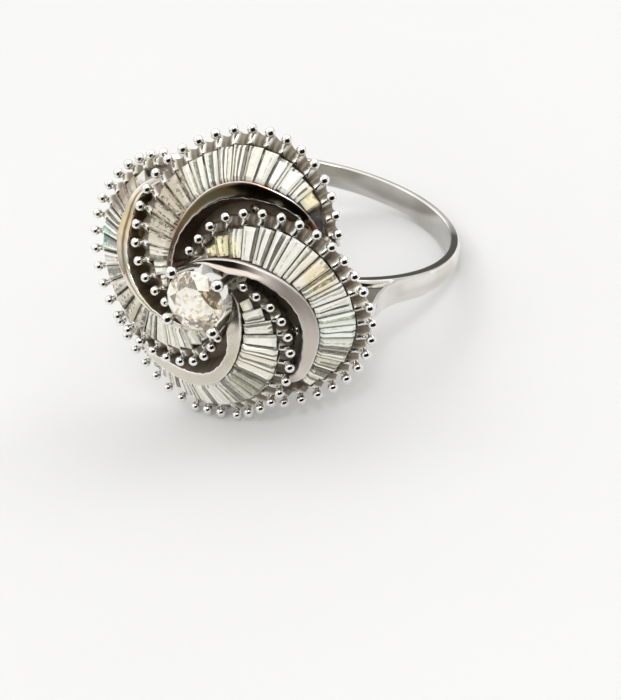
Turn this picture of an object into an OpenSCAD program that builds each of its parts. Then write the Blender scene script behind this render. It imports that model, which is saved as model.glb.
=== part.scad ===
/* [Finger ring] */
// Diameter of the finger hole
bore_d = 18.4; // [17:0.1:19]
// Width of the band along the finger
band_w = 1.6; // [1.4:0.1:2.2]
// Thickness of the band at the middle of its width
band_t = 0.75; // [0.6:0.05:1]
// Radius of the band's rounded outer face across its width
band_crown_r = 1.3; // [1:0.1:3]
// Distance of each shoulder's outer face from the ring's middle
shoulder_x = 8.25; // [8.1:0.05:8.5]
// Depth of the hollow in each side of a shoulder
shoulder_pocket = 0.45; // [0.3:0.05:0.6]

/* [Domed head] */
// Number of swirling petals
petals = 4; // [4:1:4]
// Height of the dome's top above the middle of the finger hole
dome_top = 14.2; // [14.1:0.1:14.6]
// Radius of the dome that the petals lie on
dome_r = 12.8; // [12.4:0.1:13.2]
// Turn of the swirl about the head's axis
swirl_turn = -152; // [-180:1:180]

/* [Ball prongs] */
// Ball prongs in the row along one petal
balls = 23; // [20:1:24]
// Diameter of a ball
ball_d = 0.62; // [0.5:0.02:0.66]
// Diameter of the stem under a ball
stem_d = 0.4; // [0.3:0.02:0.46]
// Distance from one ball to the next
ball_pitch = 1.04; // [1.02:0.01:1.1]
// Fan angle of a petal's first ball, beside the centre stone
first_ball = 19; // [17:1:20]

/* [Tapered baguettes] */
// Baguettes set side by side in one petal
baguettes = 19; // [16:1:19]
// Clear gap between two neighbouring stones
stone_gap = 0.12; // [0.1:0.01:0.2]
// Clear gap between a stone and the metal that holds it
seat_gap = 0.06; // [0.04:0.01:0.1]
// Depth of a baguette from its table to its keel
baguette_h = 0.85; // [0.6:0.05:0.9]

/* [Centre stone] */
// Diameter of the round brilliant
centre_d = 3.5; // [3.2:0.1:3.6]
// Height of its girdle above the dome
centre_rise = 0.8; // [0.7:0.1:1.2]
// Diameter of the balls on its four prongs
centre_ball_d = 0.72; // [0.6:0.02:0.8]

/* [Hidden] */

bore_r = bore_d / 2;
band_r = bore_r + band_t;
dome_z = dome_top - dome_r;

// Point that a petal's baguettes fan out from, in plan, for a petal that
// starts on the X axis and sweeps clockwise round the centre stone.
fan = [-2.5, -1.7];

// Sections of a petal, one at each fan line. Distances are measured from the
// fan point, and lifts along the dome's normal.
// Columns: fan angle, ball row distance, ball row lift, rail outer distance,
// rail outer lift, rail inner distance, rail inner lift
PETAL = [
  [  20, 5.4,  -0.05, 4.75,  0.1,  4.65,  0.2],
  [  -5, 6.5,  -0.1,  4.3,   0.05, 3.6,   0.5],
  [ -30, 6.8,  -0.05, 3.95,  0.0,  3.35,  0.35],
  [ -55, 6.75,  0.1,  3.9,   0.05, 3.2,   0.2],
  [ -80, 6.55,  0.1,  4.0,   0.1,  3.2,   0.05],
  [-105, 6.5,   0.1,  4.05,  0.1,  3.2,  -0.1],
  [-130, 6.2,   0.0,  4.05,  0.0,  3.35, -0.2],
  [-155, 5.8,  -0.15, 4.3,  -0.05, 3.8,  -0.15],
  [-180, 5.45, -0.1,  4.7,  -0.8,  4.3,  -0.9],
];
BALL = 1;
BALL_LIFT = 2;
RAIL_OUT = 3;
RAIL_OUT_LIFT = 4;
RAIL_IN = 5;
RAIL_IN_LIFT = 6;

// A petal's metal runs between these fan angles, in this many sections
petal_start = 20;
petal_end = -190;
sections = 45;

// Heights in a petal, along the dome's normal
seat_lift = -1.1;
seat_fall = 0.001;
keel_gap = 0.08;
stone_back = 0.42;
stone_back_share = 0.1;
floor_t = 0.34;
table_drop = 0.1;
bearer_drop = 0.4;
bearer_w = 0.25;
skirt_drop = 0.6;
stem_drop = 1.1;
rim_w = 0.12;

// Thin dished plate that closes the valleys between the petals, let into the
// cup of the centre setting
plate_r = 6.4;
plate_lift = -1.26;
plate_t = 0.12;
plate_seat = 0.2;

// Smooth curve through one column of the petal's sections
function section_row(i) = PETAL[max(0, min(len(PETAL) - 1, i))];
function along(angle, column) =
  let (at = (PETAL[0][0] - angle) / (PETAL[0][0] - PETAL[1][0]),
       i = max(0, min(len(PETAL) - 2, floor(at))),
       u = at - i,
       a = section_row(i - 1)[column],
       b = section_row(i)[column],
       c = section_row(i + 1)[column],
       d = section_row(i + 2)[column])
  b + u * ((c - a) / 2
    + u * (a - 2.5 * b + 2 * c - d / 2 + u * ((d - a) / 2 + 1.5 * (b - c))));

// Point over the dome at a fan angle, a distance and a lift
function over_dome(angle, distance, lift) =
  let (x = fan[0] + distance * cos(angle),
       y = fan[1] + distance * sin(angle),
       z = sqrt(dome_r * dome_r - x * x - y * y))
  [x, y, z] * (1 + lift / dome_r) + [0, 0, dome_z];

// Fan angle of each ball. The first two stand a little closer together.
function turn_per_mm(angle) =
  let (slope = (along(angle - 1, BALL) - along(angle + 1, BALL)) * 90 / PI)
  180 / PI / norm([along(angle, BALL), slope]);
function ball_angle(k) =
  k == 0 ? first_ball
  : let (last = ball_angle(k - 1))
    last - ball_pitch * min(1, 0.7 + 0.1 * k) * turn_per_mm(last);
BALL_ANGLES = [for (k = [0:balls - 1]) ball_angle(k)];

// Balls bent out of their row's smooth curve: petal, ball, distance outwards
BENT = [[2, 12, 0.06], [2, 13, -0.23], [2, 14, -0.23], [2, 15, 0.06]];
function bend(j, k) =
  let (found = [for (b = BENT) if (b[0] == j && b[1] == k) b[2]])
  len(found) > 0 ? found[0] : 0;

// Floor under the stones. It falls a little along the petal, so that one
// petal's tail passes under the next petal.
function seat(angle) = seat_lift - seat_fall * (PETAL[0][0] - angle);

// Outer end of the stones on a fan line, set back from the ball row
function stone_end(angle) =
  let (room = along(angle, BALL) - along(angle, RAIL_OUT))
  along(angle, BALL) - stone_back - stone_back_share * room;

// Shoulders and the gallery ring under the head
shoulder_z = 4.2;
shoulder_in = 5.0;
head_under = 11.8;
gallery_r = 5.2;
gallery_z = 9.6;
gallery_wire = 0.35;
gallery_posts = 12;

// Centre setting
prong_r = 2.02;
prong_turn = 48;
prong_d = 0.4;
prong_foot = 2.8;
girdle_z = dome_top + centre_rise;
prong_z = girdle_z + 0.3;
cup_r = 2.5;
cup_hole_r = 0.9;
cup_h = 0.5;
cup_z = dome_top - 1.95;
foot_r = 1.65;

// How the ring lies on a table, on its band and two of its balls
rest_roll = -19.7;
rest_tilt = 71.94;
rest_move = [0, 2.943, 5.029];

module lay() {
  translate(rest_move)
    rotate([rest_tilt, 0, 0])
      rotate([0, 0, rest_roll])
        children();
}

module in_petal(j) {
  rotate([0, 0, swirl_turn - j * 360 / petals])
    children();
}

module band_section() {
  intersection() {
    translate([bore_r - 0.5, -band_w / 2])
      square([band_t + 1, band_w]);
    translate([band_r - band_crown_r, 0])
      circle(r = band_crown_r, $fn = 64);
  }
}

module band() {
  rotate([90, 0, 0])
    rotate_extrude($fn = 96)
      band_section();
}

// One shoulder's outline in the plane of the finger hole
SHOULDER = [
  [shoulder_in, 6.2], [8.9, shoulder_z], [8.45, 5.4], [shoulder_x, 6.6],
  [shoulder_x + 0.05, 8.0], [8.5, 8.9], [8.7, 9.5], [8.3, 9.9],
  [shoulder_in, head_under],
];

// Outline of the hollow in its side
HOLLOW = [
  [8.25, 5.8], [8.05, 6.6], [8.1, 8.0], [8.3, 9.1], [6.8, 9.9], [6.5, 7.5], [7.3, 6.3],
];

module shoulder() {
  difference() {
    rotate([90, 0, 0])
      linear_extrude(height = band_w, center = true)
        polygon(SHOULDER);
    for (side = [-1, 1])
      translate([0, side * (band_w / 2 + 0.5 - shoulder_pocket), 0])
        rotate([90, 0, 0])
          linear_extrude(height = 1, center = true)
            polygon(HOLLOW);
  }
}

module gallery() {
  translate([0, 0, gallery_z])
    rotate_extrude($fn = 96)
      translate([gallery_r, 0])
        circle(r = gallery_wire, $fn = 24);
  for (i = [0:gallery_posts - 1])
    rotate([0, 0, (i + 0.5) * 360 / gallery_posts])
      translate([gallery_r, 0, gallery_z])
        cylinder(r = gallery_wire * 0.8, h = head_under - gallery_z, $fn = 24);
}

module shank() {
  band();
  for (side = [0, 180])
    rotate([0, 0, side])
      shoulder();
  gallery();
}

module centre_setting() {
  translate([0, 0, cup_z])
    difference() {
      cylinder(r = cup_r, h = cup_h, $fn = 64);
      translate([0, 0, -1])
        cylinder(r = cup_hole_r, h = cup_h + 2, $fn = 64);
    }
  lean = atan2(prong_r - foot_r, prong_foot);
  for (i = [0:3])
    rotate([0, 0, prong_turn + i * 90])
      translate([prong_r, 0, prong_z]) {
        sphere(d = centre_ball_d, $fn = 32);
        rotate([0, 180 + lean, 0])
          cylinder(d = prong_d, h = prong_foot, $fn = 24);
      }
}

// Outline of a petal's metal across one fan line: the rail, the floor that the
// stones stand over, and the low bearer that the ball prongs rise from
function petal_outline(angle) =
  let (ball = along(angle, BALL),
       lift = along(angle, BALL_LIFT),
       in = along(angle, RAIL_IN),
       out = along(angle, RAIL_OUT),
       end = stone_end(angle) + seat_gap)
  [for (p = [
     [in, along(angle, RAIL_IN_LIFT)],
     [out, along(angle, RAIL_OUT_LIFT)],
     [out, seat(angle)],
     [end, seat(angle)],
     [end, lift - bearer_drop],
     [end + bearer_w, lift - bearer_drop],
     [ball + rim_w, lift - skirt_drop],
     [ball + rim_w, seat(angle) - floor_t],
     [in, seat(angle) - floor_t]])
   over_dome(angle, p[0], p[1])];

// Skin over a row of like outlines, closed by a cap at each end
module skin(outlines) {
  n = len(outlines);
  m = len(outlines[0]);
  polyhedron(
    points = [for (o = outlines) each o],
    faces = concat(
      [[for (k = [0:m - 1]) m - 1 - k]],
      [[for (k = [0:m - 1]) m * (n - 1) + k]],
      [for (i = [0:n - 2], k = [0:m - 1])
        let (a = m * i + k, b = m * i + (k + 1) % m)
        each [[a, b, a + m], [a + m, b, b + m]]]),
    convexity = 8);
}

module valley_plate() {
  translate([0, 0, dome_z])
    intersection() {
      difference() {
        sphere(r = dome_r + plate_lift, $fn = 96);
        sphere(r = dome_r + plate_lift - plate_t, $fn = 96);
        cylinder(r = cup_r - plate_seat, h = dome_r, $fn = 96);
      }
      cylinder(r = plate_r, h = dome_r, $fn = 96);
    }
}

module petal_metal() {
  skin([for (k = [0:sections - 1])
    petal_outline(petal_start - (petal_start - petal_end) * k / (sections - 1))]);
}

module ball_prong(j, k) {
  angle = BALL_ANGLES[k];
  p = over_dome(angle, along(angle, BALL) + bend(j, k), along(angle, BALL_LIFT));
  v = p - [0, 0, dome_z];
  translate(p)
    rotate([0, acos(v[2] / norm(v)), atan2(v[1], v[0])]) {
      sphere(d = ball_d, $fn = 24);
      translate([0, 0, -stem_drop])
        cylinder(d = stem_d, h = stem_drop, $fn = 16);
    }
}

module ring_metal() {
  color("gainsboro")
    lay()
      difference() {
        union() {
          shank();
          centre_setting();
          valley_plate();
          for (j = [0:petals - 1])
            in_petal(j) {
              petal_metal();
              for (k = [0:balls - 1])
                ball_prong(j, k);
            }
        }
        rotate([90, 0, 0])
          cylinder(r = bore_r, h = 40, center = true, $fn = 96);
      }
}

function unit(v) = v / norm(v);

// Step-cut stone with a table, four crown facets, a thin girdle and a keel.
// Columns of an edge: distance from the inner end, half width, height
module baguette(i) {
  half = (BALL_ANGLES[i] - BALL_ANGLES[i + 1]) / 2;
  angle = BALL_ANGLES[i] - half;
  span = [angle - half, angle, angle + half];
  from = max([for (a = span) along(a, RAIL_OUT)]) + seat_gap;
  to = min([for (a = span) stone_end(a)]);
  in_lift = along(angle, RAIL_OUT_LIFT) - table_drop;
  out_lift = along(angle, BALL_LIFT) - table_drop;
  inner = over_dome(angle, from, in_lift);
  outer = over_dome(angle, to, out_lift);
  depth = min(baguette_h, min(in_lift, out_lift) - seat(angle) - keel_gap);
  length = norm(outer - inner);
  forth = unit(outer - inner);
  side = unit(cross(inner - [0, 0, dome_z], forth));
  up = cross(forth, side);
  in_w = from * sin(half) - stone_gap / 2;
  out_w = to * sin(half) - stone_gap / 2;
  bevel = min(0.25, length / 4);
  bevel_w = 0.14;
  keel = length / 5;
  crown_h = 0.18;
  girdle_h = 0.08;
  rings = [
    [[bevel, in_w - bevel_w, 0], [length - bevel, out_w - bevel_w, 0]],
    [[0, in_w, -crown_h], [length, out_w, -crown_h]],
    [[0, in_w, -crown_h - girdle_h], [length, out_w, -crown_h - girdle_h]],
    [[keel, 0.03, -depth], [length - keel, 0.03, -depth]]];
  skin([for (r = rings)
    [for (c = [[0, -1], [1, -1], [1, 1], [0, 1]])
      inner + forth * r[c[0]][0] + side * r[c[0]][1] * c[1] + up * r[c[0]][2]]]);
}

module petal_stones(j) {
  color("white")
    lay()
      in_petal(j)
        for (i = [1:baguettes])
          baguette(i);
}

module baguettes_1() petal_stones(0);
module baguettes_2() petal_stones(1);
module baguettes_3() petal_stones(2);
module baguettes_4() petal_stones(3);

// Round brilliant with a table, 8 stars, 8 kites, 16 girdle facets and a
// pavilion of 16 facets that meet at the culet
module centre_stone() {
  r = centre_d / 2;
  table_z = centre_d * 0.15;
  star_z = centre_d * 0.1;
  girdle_h = 0.06;
  culet_z = -centre_d * 0.43;
  function ring(count, radius, z, turn) =
    [for (k = [0:count - 1])
      let (a = k * 360 / count + turn)
      [radius * cos(a), radius * sin(a), z]];
  points = concat(
    ring(8, r * 0.57, table_z, 0),
    ring(8, r * 0.79, star_z, 22.5),
    ring(16, r, 0, 0),
    ring(16, r, -girdle_h, 0),
    [[0, 0, culet_z]]);
  faces = concat(
    [[for (k = [7:-1:0]) k]],
    [for (k = [0:7])
      let (n = (k + 1) % 8, l = (k + 7) % 8, g = 16 + 2 * k)
      each [[k, n, 8 + k],
            [k, 8 + k, g], [k, g, 8 + l],
            [8 + k, g + 1, g], [8 + k, 16 + (2 * k + 2) % 16, g + 1]]],
    [for (k = [0:15])
      let (n = (k + 1) % 16)
      each [[16 + k, 16 + n, 32 + k], [32 + k, 16 + n, 32 + n], [32 + k, 32 + n, 48]]]);
  color("white")
    lay()
      translate([0, 0, girdle_z])
        rotate([0, 0, prong_turn + 22.5])
          polyhedron(points = points, faces = faces, convexity = 4);
}

ring_metal();
centre_stone();
baguettes_1();
baguettes_2();
baguettes_3();
baguettes_4();
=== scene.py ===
"""Dresses the domed cluster ring: white metal, four fans of baguettes and a raised round stone."""

import logging
import math
from dataclasses import dataclass
from enum import Enum, IntEnum

import bpy
import numpy as np
from mathutils import Matrix, Vector


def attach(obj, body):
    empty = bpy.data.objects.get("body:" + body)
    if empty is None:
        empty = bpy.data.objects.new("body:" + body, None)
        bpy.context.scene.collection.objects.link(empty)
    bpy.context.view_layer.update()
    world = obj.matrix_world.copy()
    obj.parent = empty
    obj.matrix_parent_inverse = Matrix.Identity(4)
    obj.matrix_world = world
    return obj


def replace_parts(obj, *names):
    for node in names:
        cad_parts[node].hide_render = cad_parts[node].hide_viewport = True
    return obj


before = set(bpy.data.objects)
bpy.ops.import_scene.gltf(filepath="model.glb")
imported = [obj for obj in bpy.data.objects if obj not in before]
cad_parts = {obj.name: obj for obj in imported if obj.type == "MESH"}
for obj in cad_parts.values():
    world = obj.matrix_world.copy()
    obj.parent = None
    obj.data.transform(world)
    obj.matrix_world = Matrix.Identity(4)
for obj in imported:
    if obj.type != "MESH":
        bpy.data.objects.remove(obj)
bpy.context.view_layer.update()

Array = np.ndarray
Numbers = Array | float
Tint = tuple[float, float, float]
Place = tuple[float, float, float]
Material = bpy.types.Material
Piece = bpy.types.Object
Socket = bpy.types.NodeSocket

LOG = logging.getLogger("ring")
MM_PER_M = 1000.0
# Marks of the metal's points: painted shade, the plain colour, painted light
PAINTED_SHADE, PLAIN, PAINTED_LIGHT = 0.0, 0.5, 1.0
# A direction that no prong points in, to work out the directions across a prong from
ASIDE = (0.3, 0.2, 1.0)
# Pieces of the curve that eases a corner
ARC = 3


class Slot(Enum):
    """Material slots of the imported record."""

    METAL = "white_gold"
    CENTRE = "centre_diamond"
    BAGUETTE = "baguette_diamond"


class Axis(Enum):
    """Axes that a profile is carried round."""

    HEAD = "Z, through the middle of the head"
    FINGER = "Y, through the finger hole"


class Column(IntEnum):
    """Columns of the petal's section table."""

    ANGLE = 0
    BALL = 1
    BALL_LIFT = 2
    RAIL_OUT = 3
    RAIL_OUT_LIFT = 4
    RAIL_IN = 5
    RAIL_IN_LIFT = 6


@dataclass(frozen=True)
class Resting:
    """How the ring lies on the table: turned about its head's axis, tilted over, then moved."""

    roll: float = -19.7
    tilt: float = 71.94
    move: Place = (0.0, 2.943, 5.029)

    def turn(self) -> Array:
        """Matrix from the ring's own axes to the table's.

        Returns:
            A turn by roll about Z followed by one by tilt about X, 3 by 3.
        """
        r, t = math.radians(self.roll), math.radians(self.tilt)
        rolled = [[math.cos(r), -math.sin(r), 0], [math.sin(r), math.cos(r), 0], [0, 0, 1]]
        tilted = [[1, 0, 0], [0, math.cos(t), -math.sin(t)], [0, math.sin(t), math.cos(t)]]
        return np.array(tilted) @ np.array(rolled)

    def lay(self, points: Array) -> Array:
        """Carries points from the ring's own frame to the table's.

        Args:
            points: places in millimetres from the middle of the finger hole, 3 numbers last.

        Returns:
            The same places in metres in the row's frame.
        """
        return (np.asarray(points, float) @ self.turn().T + np.array(self.move)) / MM_PER_M


RESTING = Resting()


# Grids of points


def unit(v: Array) -> Array:
    """Vectors divided by their lengths, along the last axis."""
    return v / np.linalg.norm(v, axis=-1, keepdims=True)


def flat(direction: Array) -> Array:
    """The part of a direction that runs along the table, as a unit vector."""
    return unit(direction * np.array([1.0, 1.0, 0.0]))


def stacked(*parts: Array | float) -> Array:
    """Arrays broadcast against each other and stacked along a new last axis."""
    return np.stack(np.broadcast_arrays(*parts), -1)


def on_axis(height: float) -> Array:
    """The point at a height on the head's axis."""
    return np.array([0.0, 0.0, height])


def circle(count: int, radius: float, height: float, turn: float) -> Array:
    """Points spaced evenly round the head's axis.

    Args:
        count: how many.
        radius: their distance from the axis.
        height: their place along it.
        turn: degrees from X to the first.

    Returns:
        Points, count by 3.
    """
    a = np.radians(np.arange(count) * 360 / count + turn)
    return stacked(radius * np.cos(a), radius * np.sin(a), height)


def spin(points: Array, degrees: float) -> Array:
    """Turns points about the head's axis.

    Args:
        points: places, 3 numbers last.
        degrees: the turn from X towards Y.

    Returns:
        The turned places.
    """
    a = math.radians(degrees)
    x, y, z = np.moveaxis(points, -1, 0)
    return stacked(x * math.cos(a) - y * math.sin(a), x * math.sin(a) + y * math.cos(a), z)


def revolve(profile: Array, axis: Axis, steps: int) -> Array:
    """Carries a closed profile round an axis of the ring.

    Point (u, v) is the profile's point v, (distance, height), turned by u full circles over steps.

    Args:
        profile: (distance from the axis, place along it) pairs.
        axis: the axis.
        steps: profiles round the circle.

    Returns:
        A grid of points, steps by corners by 3.
    """
    a = np.linspace(0, 2 * math.pi, steps, endpoint=False)[:, None]
    x, y, height = profile[:, 0] * np.cos(a), profile[:, 0] * np.sin(a), profile[:, 1]
    return stacked(x, y, height) if axis is Axis.HEAD else stacked(x, height, y)


def wire(centres: Array, axis: Array, radii: Array, sides: int) -> Array:
    """Round wire along a straight axis: about each centre, a circle across the axis.

    Args:
        centres: middles of the circles, steps by 3.
        axis: unit vector along the wire.
        radii: the circles' radii, one a step.
        sides: points round the wire.

    Returns:
        A grid of points, steps by sides by 3.
    """
    a = np.linspace(0, 2 * math.pi, sides, endpoint=False)[:, None]
    side = unit(np.cross(axis, ASIDE))
    across = side * np.cos(a) + np.cross(axis, side) * np.sin(a)
    return centres[:, None] + radii[:, None, None] * across


def rounded(corners: Array, radii: Numbers, arc: int = ARC) -> Array:
    """Rounds the corners of closed outlines by quadratic curves.

    Corner k becomes arc + 1 points of the curve from a point on the side before it, at the corner's
    radius from it, to one on the side after it, with the corner as the curve's control point.

    Args:
        corners: outlines, any leading shape, corners, 2 or 3 numbers last.
        radii: how far each curve starts from its corner, one number or one a corner.
        arc: pieces of each curve.

    Returns:
        The outlines with (arc + 1) points a corner.
    """
    most_of_side, tiny = 0.45, 1e-9
    reach = np.broadcast_to(np.asarray(radii, float), corners.shape[:-1])[..., None]
    ends = []
    for neighbour in (1, -1):
        way = np.roll(corners, neighbour, -2) - corners
        length = np.linalg.norm(way, axis=-1, keepdims=True) + tiny
        ends.append(corners + way / length * np.minimum(reach, length * most_of_side))
    start, middle, end = (points[..., None, :] for points in (ends[0], corners, ends[1]))
    t = np.linspace(0, 1, arc + 1)[:, None]
    curve = (1 - t) ** 2 * start + 2 * t * (1 - t) * middle + t * t * end
    return curve.reshape(*corners.shape[:-2], -1, corners.shape[-1])


def put_mesh(name: str, points: Array, faces: list, material: Material) -> Piece:
    """Makes a mesh and puts it in the scene, with its object unturned at the origin.

    Args:
        name: name of the object and its mesh.
        points: places in metres, n by 3.
        faces: lists of the points' numbers.
        material: its finish.

    Returns:
        The object.
    """
    mesh = bpy.data.meshes.new(name)
    mesh.from_pydata(points, [], faces)
    mesh.materials.append(material)
    mesh.update()
    made = bpy.data.objects.new(name, mesh)
    bpy.context.scene.collection.objects.link(made)
    return made


class Skin:
    """A mesh gathered from grids of points, in millimetres in the ring's own frame.

    Each point keeps two numbers. On metal the mark runs from painted shade over plain to painted
    light, and it tells one stone from the next. The shift is the place across a stone.
    """

    def __init__(self) -> None:
        """Starts empty."""
        self.points: list[Array] = []
        self.marks: list[Array] = []
        self.shifts: list[Array] = []
        self.quads: list[Array] = []
        self.fans: list[list[int]] = []
        self.count = 0

    def _add(self, points: Array, mark: Numbers, shift: Numbers = 0.0) -> int:
        """Adds points with their two numbers.

        Args:
            points: the points, 3 numbers last.
            mark: their marks, one for all or in a shape that spreads over the points.
            shift: their shifts, in the same way.

        Returns:
            The number of the first point in the mesh.
        """
        start = self.count
        self.points.append(points.reshape(-1, 3))
        for kept, given in ((self.marks, mark), (self.shifts, shift)):
            kept.append(np.broadcast_to(np.asarray(given, float), points.shape[:-1]).reshape(-1))
        self.count += len(self.points[-1])
        return start

    def tube(
        self, grid: Array, mark: Numbers = PLAIN, shift: Numbers = 0.0, ring: bool = False
    ) -> None:
        """Adds a closed profile carried along a path.

        Point (u, v) of the grid is corner v of the profile at step u of the path. The faces are
        turned outwards by the sign of the volume that they close in, summed from the corners of
        each quad. Where the path doesn't come back to its start, a flat face closes each end.

        Args:
            grid: points, steps by corners by 3.
            mark: marks of the points, one for all, or one a step, one a corner or one a point.
            shift: shifts of the points, in the same way.
            ring: whether the path comes back to its start.
        """
        steps, corners = grid.shape[:2]
        start = self._add(grid, mark, shift)
        u = np.arange(steps if ring else steps - 1)[:, None] * corners
        after = (u + corners) % (steps * corners)
        v = np.arange(corners)
        w = (v + 1) % corners
        quads = stacked(u + v, u + w, after + w, after + v).reshape(-1, 4)
        near = grid.reshape(-1, 3)[quads] - grid.reshape(-1, 3).mean(0)
        volume = np.einsum("ni,ni->", near[:, 0] - near[:, 2], np.cross(near[:, 1], near[:, 3]))
        way = -1 if volume < 0 else 1
        self.quads.append(start + quads[:, ::way])
        if not ring:
            first, last = np.arange(corners)[::-1], np.arange(corners) + (steps - 1) * corners
            self.fans += [(start + cap)[::way].tolist() for cap in (first, last)]

    def beads(
        self, centres: Array, axes: Array, radius: float, sides: int = 20, rows: int = 11
    ) -> None:
        """Adds spheres with painted light, each turned so that its pole is along its own axis.

        A point is centre + radius (sin p cos q, sin p sin q, cos p) on the bead's own axes, with p
        from pole to pole and q round it.

        Args:
            centres: the beads' middles, n by 3.
            axes: unit vectors of their poles, n by 3.
            radius: the beads' radius.
            sides: points round a bead.
            rows: bands of faces from pole to pole.
        """
        p = np.linspace(0, math.pi, rows + 1)[1:-1, None]
        q = np.linspace(0, 2 * math.pi, sides, endpoint=False)
        ball = stacked(np.sin(p) * np.cos(q), np.sin(p) * np.sin(q), np.cos(p))
        u, v = np.arange(rows - 2)[:, None] * sides, np.arange(sides)
        w = (v + 1) % sides
        quads = stacked(u + v, u + v + sides, u + w + sides, u + w).reshape(-1, 4)
        side = unit(np.cross(axes, ASIDE))
        frames = np.stack([side, np.cross(axes, side), axes], 1)
        for centre, turned in zip(centres, frames):
            # Each bead is marked all over with painted light
            pole = self._add(centre + radius * np.array([turned[2], -turned[2]]), PAINTED_LIGHT)
            start = self._add(centre + radius * ball @ turned, PAINTED_LIGHT)
            last = start + (rows - 2) * sides
            self.quads.append(start + quads)
            self.fans += stacked(pole, start + v, start + w).tolist()
            self.fans += stacked(pole + 1, last + w, last + v).tolist()

    def solid(self, points: Array, faces: list[list[int]], mark: float) -> None:
        """Adds a shape by its points and faces, with one mark."""
        start = self._add(points, mark)
        self.fans += [[start + k for k in face] for face in faces]

    def make(
        self, name: str, material: Material, slot: Slot = Slot.METAL, smooth: bool = True
    ) -> Piece:
        """Turns what was gathered into an object on the table that rides with the ring.

        Args:
            name: the object's name.
            material: its finish.
            slot: the record's slot; not used.
            smooth: whether shading runs smoothly over the faces.

        Returns:
            The object.
        """
        quads = np.concatenate(self.quads).tolist() if self.quads else []
        points = RESTING.lay(np.concatenate(self.points))
        made = put_mesh(name, points, quads + self.fans, material)
        for kind, kept in (("mark", self.marks), ("shift", self.shifts)):
            values = made.data.attributes.new(kind, "FLOAT", "POINT").data
            values.foreach_set("value", np.concatenate(kept).astype(np.float32))
        faces = made.data.polygons
        faces.foreach_set("use_smooth", [smooth] * len(faces))
        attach(made, "root")
        LOG.info("%s: %d faces", name, len(faces))
        return made


# Shader node groups and finishes


class Nodes:
    """A short way to place and link shader nodes in one tree."""

    def __init__(self, tree: bpy.types.NodeTree) -> None:
        """Works on the given node tree."""
        self.tree = tree

    def feed(self, node: bpy.types.Node, inputs: dict[str | int, object]) -> None:
        """Sets or links the inputs of a node.

        Args:
            node: the node.
            inputs: input name or number to a value, or to an output socket to link from.
        """
        for key, value in inputs.items():
            if isinstance(value, Socket):
                self.tree.links.new(value, node.inputs[key])
            else:
                node.inputs[key].default_value = value

    def add(
        self, kind: str, inputs: dict[str | int, object] | None = None, **settings: object
    ) -> bpy.types.Node:
        """Places a node, sets its properties, and sets or links its inputs.

        Args:
            kind: Blender's name of the node's type.
            inputs: its inputs, as in feed.
            settings: properties of the node.

        Returns:
            The node.
        """
        node = self.tree.nodes.new(kind)
        for key, value in settings.items():
            setattr(node, key, value)
        self.feed(node, inputs or {})
        return node

    def math(self, operation: str, *values: object) -> Socket:
        """Output of a Math node on the given values or sockets."""
        return self.add("ShaderNodeMath", dict(enumerate(values)), operation=operation).outputs[0]

    def mix(self, share: object, a: object, b: object, blend: str = "MIX") -> Socket:
        """Colour output of a Mix node between two colours."""
        node = self.add("ShaderNodeMix", {0: share, 6: a, 7: b}, data_type="RGBA", blend_type=blend)
        return node.outputs[2]

    def ramp(
        self, value: object, low: float, high: float, to_low: float = 0.0, to_high: float = 1.0
    ) -> Socket:
        """Carries a value from one range to another and holds it inside that.

        Args:
            value: the value.
            low: the value that becomes to_low.
            high: the value that becomes to_high.
            to_low: one end of the new range.
            to_high: its other end.

        Returns:
            The carried value.
        """
        ends = {"From Min": low, "From Max": high, "To Min": to_low, "To Max": to_high}
        return self.add("ShaderNodeMapRange", {"Value": value} | ends, clamp=True).outputs["Result"]

    def place(self, kind: str = "Object") -> Socket:
        """Texture coordinates of a kind."""
        return self.add("ShaderNodeTexCoord").outputs[kind]

    def attribute(self, name: str) -> Socket:
        """A number that is kept on the mesh's points."""
        return self.add("ShaderNodeAttribute", attribute_name=name).outputs["Fac"]

    def noise(self, scale: object, detail: float, bend: float = 0.0) -> Socket:
        """Soft noise on Object coordinates, with a scale in waves a metre."""
        inputs = {"Vector": self.place(), "Scale": scale, "Detail": detail, "Distortion": bend}
        return self.add("ShaderNodeTexNoise", inputs).outputs["Fac"]

    def chance(self, seed: Socket, way: Socket | None = None) -> Socket:
        """A number from 0 to 1 that looks random but is fixed by its seed.

        Args:
            seed: the seed.
            way: a direction that counts as well.

        Returns:
            The number.
        """
        inputs, kind = ({"W": seed}, "1D") if way is None else ({"W": seed, "Vector": way}, "4D")
        node = self.add("ShaderNodeTexWhiteNoise", inputs, noise_dimensions=kind)
        return node.outputs["Value"]


class Group(Nodes):
    """A node group: named inputs first, then its nodes, then its named outputs."""

    def __init__(self, name: str, greys: dict[str, float], values: dict[str, float]) -> None:
        """Starts the group with its inputs.

        Args:
            name: the group's name.
            greys: its colour inputs, with the grey that each starts at.
            values: its number inputs, with their starting values.
        """
        super().__init__(bpy.data.node_groups.new(name, "ShaderNodeTree"))
        colors = {label: (grey, grey, grey, 1) for label, grey in greys.items()}
        for kind, starts in (("NodeSocketColor", colors), ("NodeSocketFloat", values)):
            for label, start in starts.items():
                made = self.tree.interface.new_socket(name=label, in_out="INPUT", socket_type=kind)
                made.default_value = start
        self.given = self.add("NodeGroupInput").outputs

    def put_out(self, outputs: dict[str, Socket]) -> bpy.types.NodeTree:
        """Ends the group with its outputs.

        Args:
            outputs: name of each output to the socket that feeds it. One named Color is a colour.

        Returns:
            The finished group.
        """
        for label in outputs:
            kind = "NodeSocketColor" if label == "Color" else "NodeSocketFloat"
            self.tree.interface.new_socket(name=label, in_out="OUTPUT", socket_type=kind)
        self.add("NodeGroupOutput", outputs)
        return self.tree


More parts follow.
